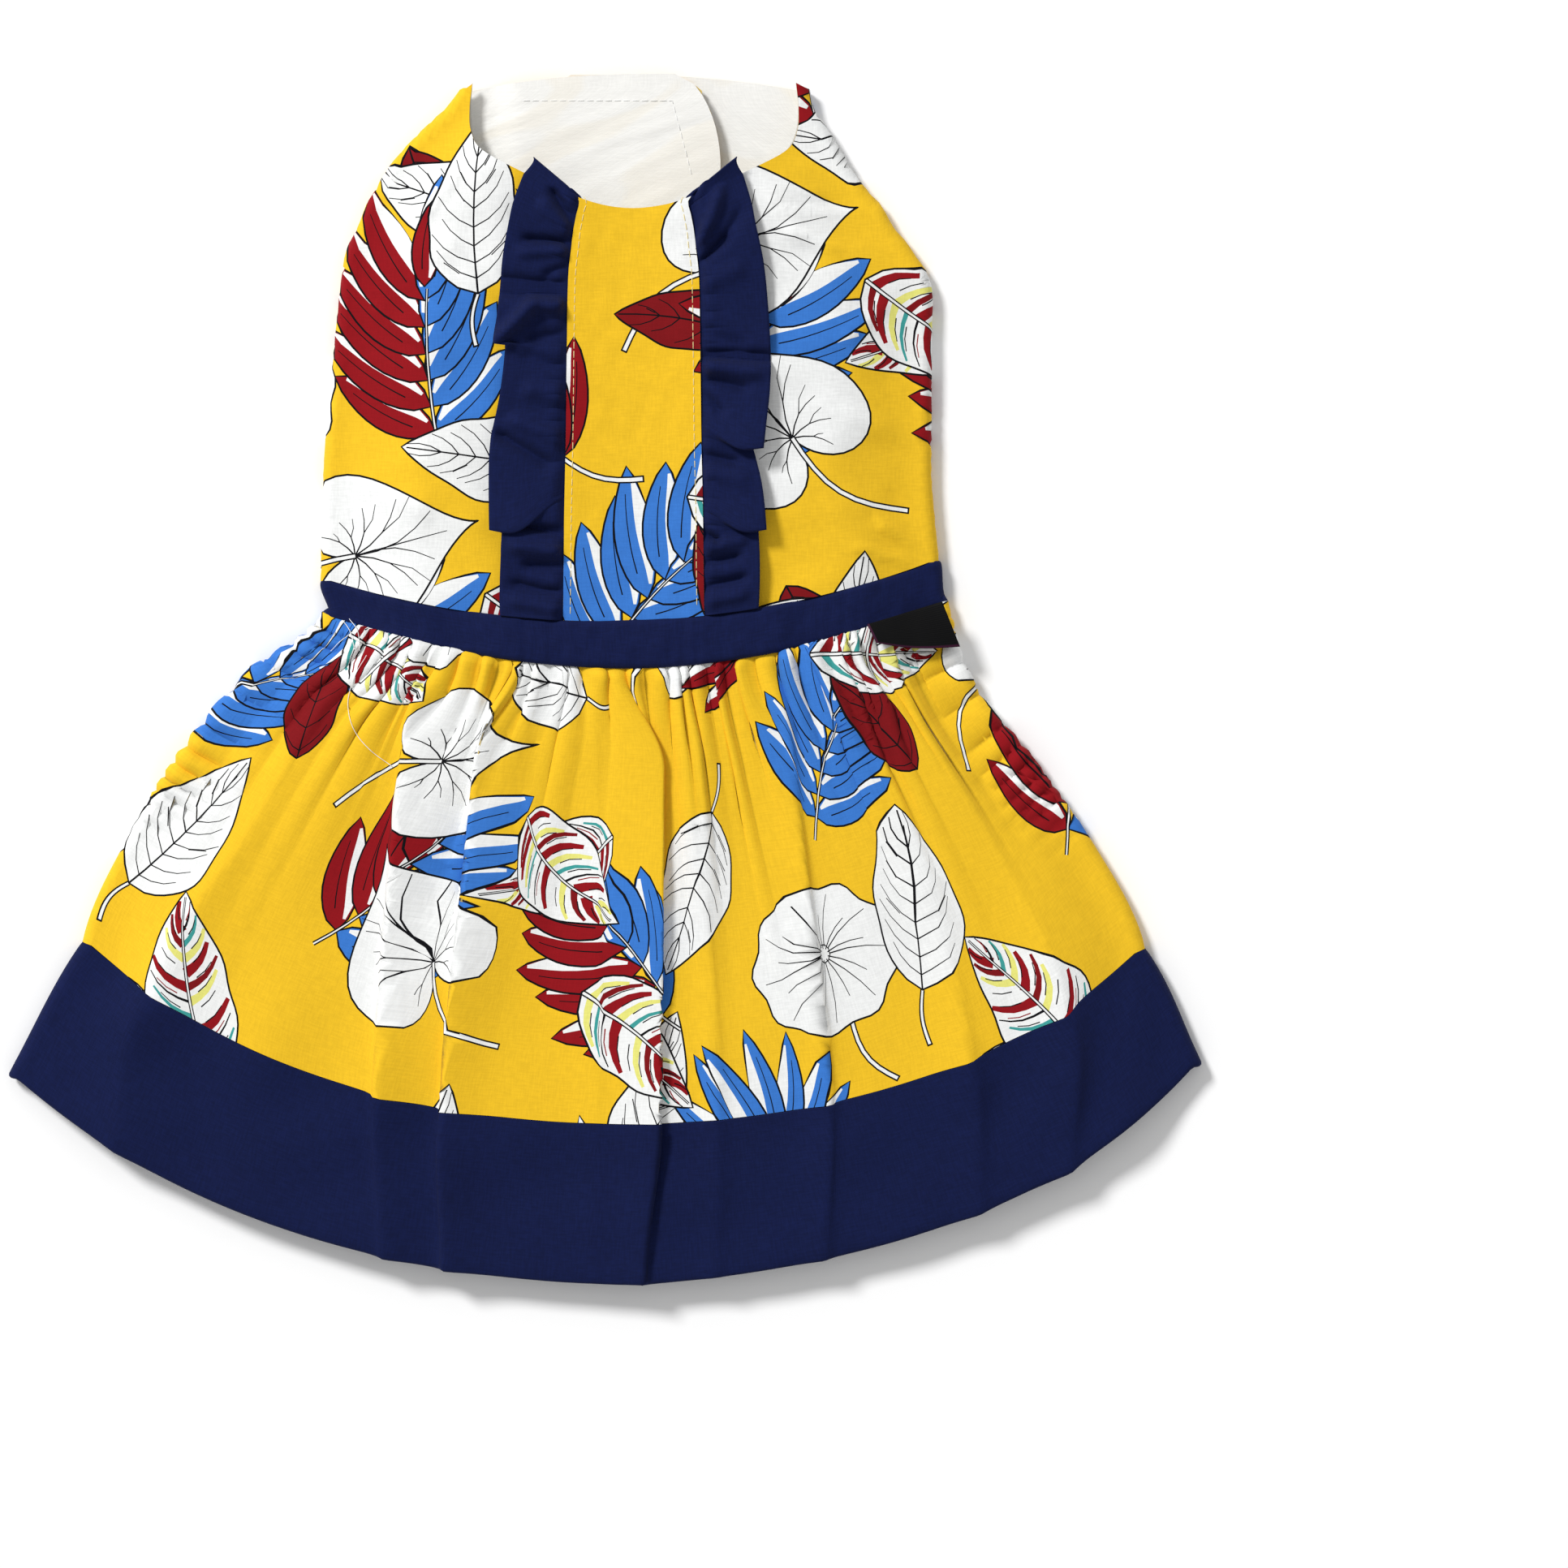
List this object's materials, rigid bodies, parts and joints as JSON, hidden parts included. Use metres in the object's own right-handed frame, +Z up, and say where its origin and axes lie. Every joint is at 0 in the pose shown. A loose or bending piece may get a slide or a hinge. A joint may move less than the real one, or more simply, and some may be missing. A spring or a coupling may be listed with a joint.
{
  "type": "dog dress",
  "caption": "Small dog's cotton dress lying flat: printed bodice with placket and ruffles, chest and belly straps, waistband, gathered lined skirt with a deep hem band.",
  "frame": {"origin": "under the middle of the whole dress, on the surface that it lies on", "axes": "+Z up from the surface, +Y towards the neck, +X to the right of the dress seen from above, which is its back"},
  "size_m": [0.3658, 0.3722, 0.019],
  "materials": {
    "printed_cotton": "plain weave cotton, mustard ground with a printed leaf pattern, matt",
    "navy_cotton": "plain weave cotton, navy, matt",
    "white_lining": "loosely woven white cotton, matt",
    "white_fastener": "touch-and-close tape, white, matt",
    "black_tape": "woven satin tape, black, plain"
  },
  "bodies": {
    "root": {"bodice_left": "printed_cotton", "bodice_right": "printed_cotton", "bodice_lining": "white_lining", "placket": "printed_cotton", "ruffle_left": "navy_cotton", "ruffle_right": "navy_cotton", "waistband": "navy_cotton", "skirt": "printed_cotton", "hem_band": "navy_cotton", "skirt_lining": "white_lining", "label": "black_tape", "chest_closure": "white_fastener", "belly_closure": "white_fastener"}
  },
  "joints": []
}
